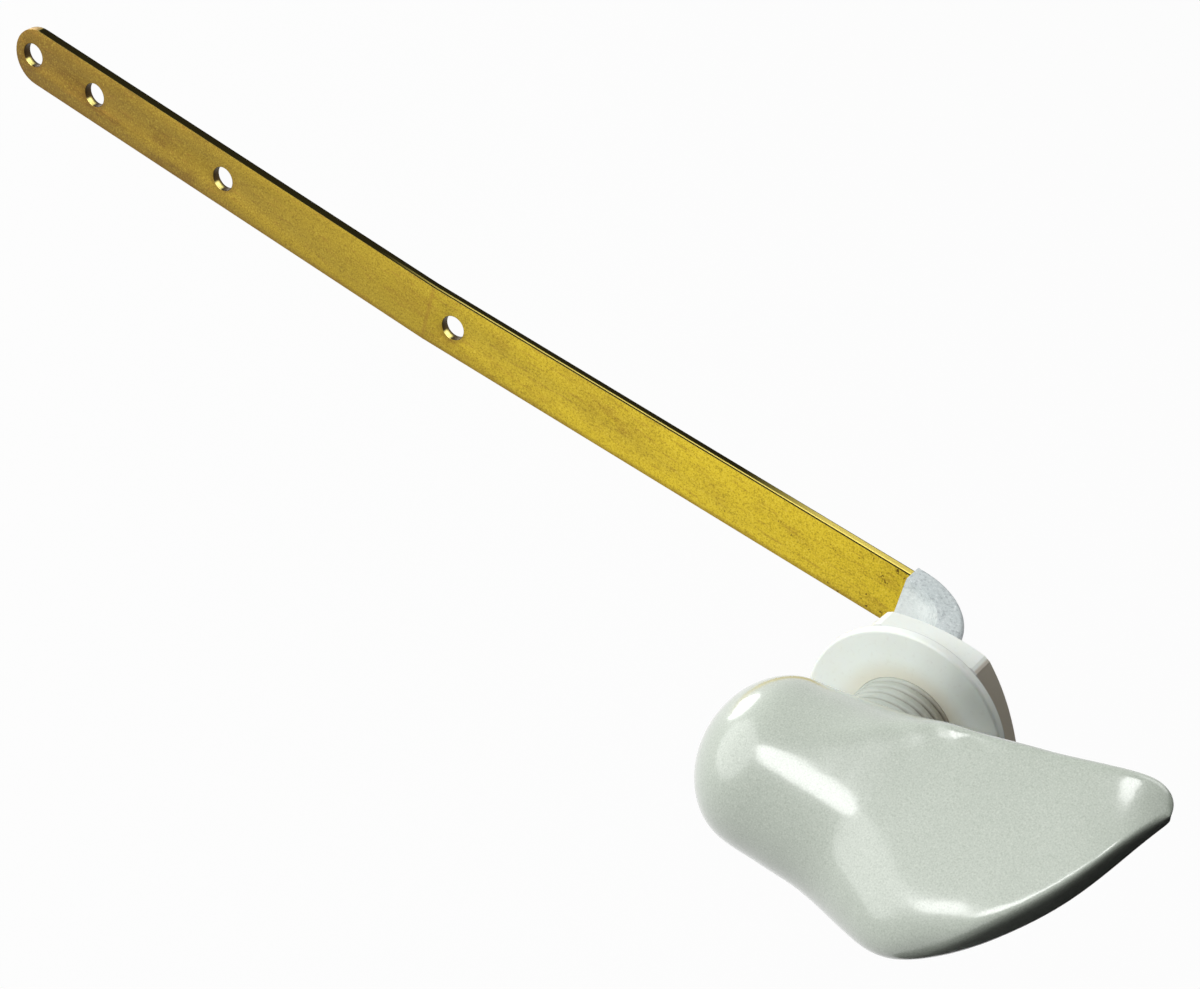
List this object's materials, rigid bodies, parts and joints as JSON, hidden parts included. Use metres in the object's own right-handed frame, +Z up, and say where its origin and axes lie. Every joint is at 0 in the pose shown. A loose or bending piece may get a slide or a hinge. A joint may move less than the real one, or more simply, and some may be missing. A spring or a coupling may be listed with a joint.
{
  "type": "cistern lever",
  "caption": "Front-mounted cistern lever: a moulded paddle handle on a spindle in a threaded bush with a flanged nut, and a long punched brass arm that lifts the flush valve.",
  "frame": {"origin": "centre of the tank hole on the tank's outer face, where the bush's head bears", "axes": "+Y into the tank along the spindle, +X towards the handle's free end, +Z up; the arm runs to -X"},
  "size_m": [0.2548, 0.0757, 0.0481],
  "materials": {
    "handle": "gloss",
    "bush": "satin",
    "nut": "satin",
    "spindle": "rough as-cast, pale grey-white",
    "arm": "satin, tarnished"
  },
  "bodies": {
    "bush": {"bush": "bush"},
    "lever": {"handle": "handle", "spindle": "spindle", "arm": "arm"},
    "nut": {"nut": "nut"}
  },
  "joints": [
    {"name": "lever_turn", "type": "hinge", "parent": "bush", "child": "lever", "pos_m": [0, 0, 0], "axis": [0, 1, 0], "range_deg": [0, 35]},
    {"name": "nut_travel", "type": "slide", "parent": "bush", "child": "nut", "axis": [0, 1, 0], "range_m": [-0.008, 0.006]}
  ]
}
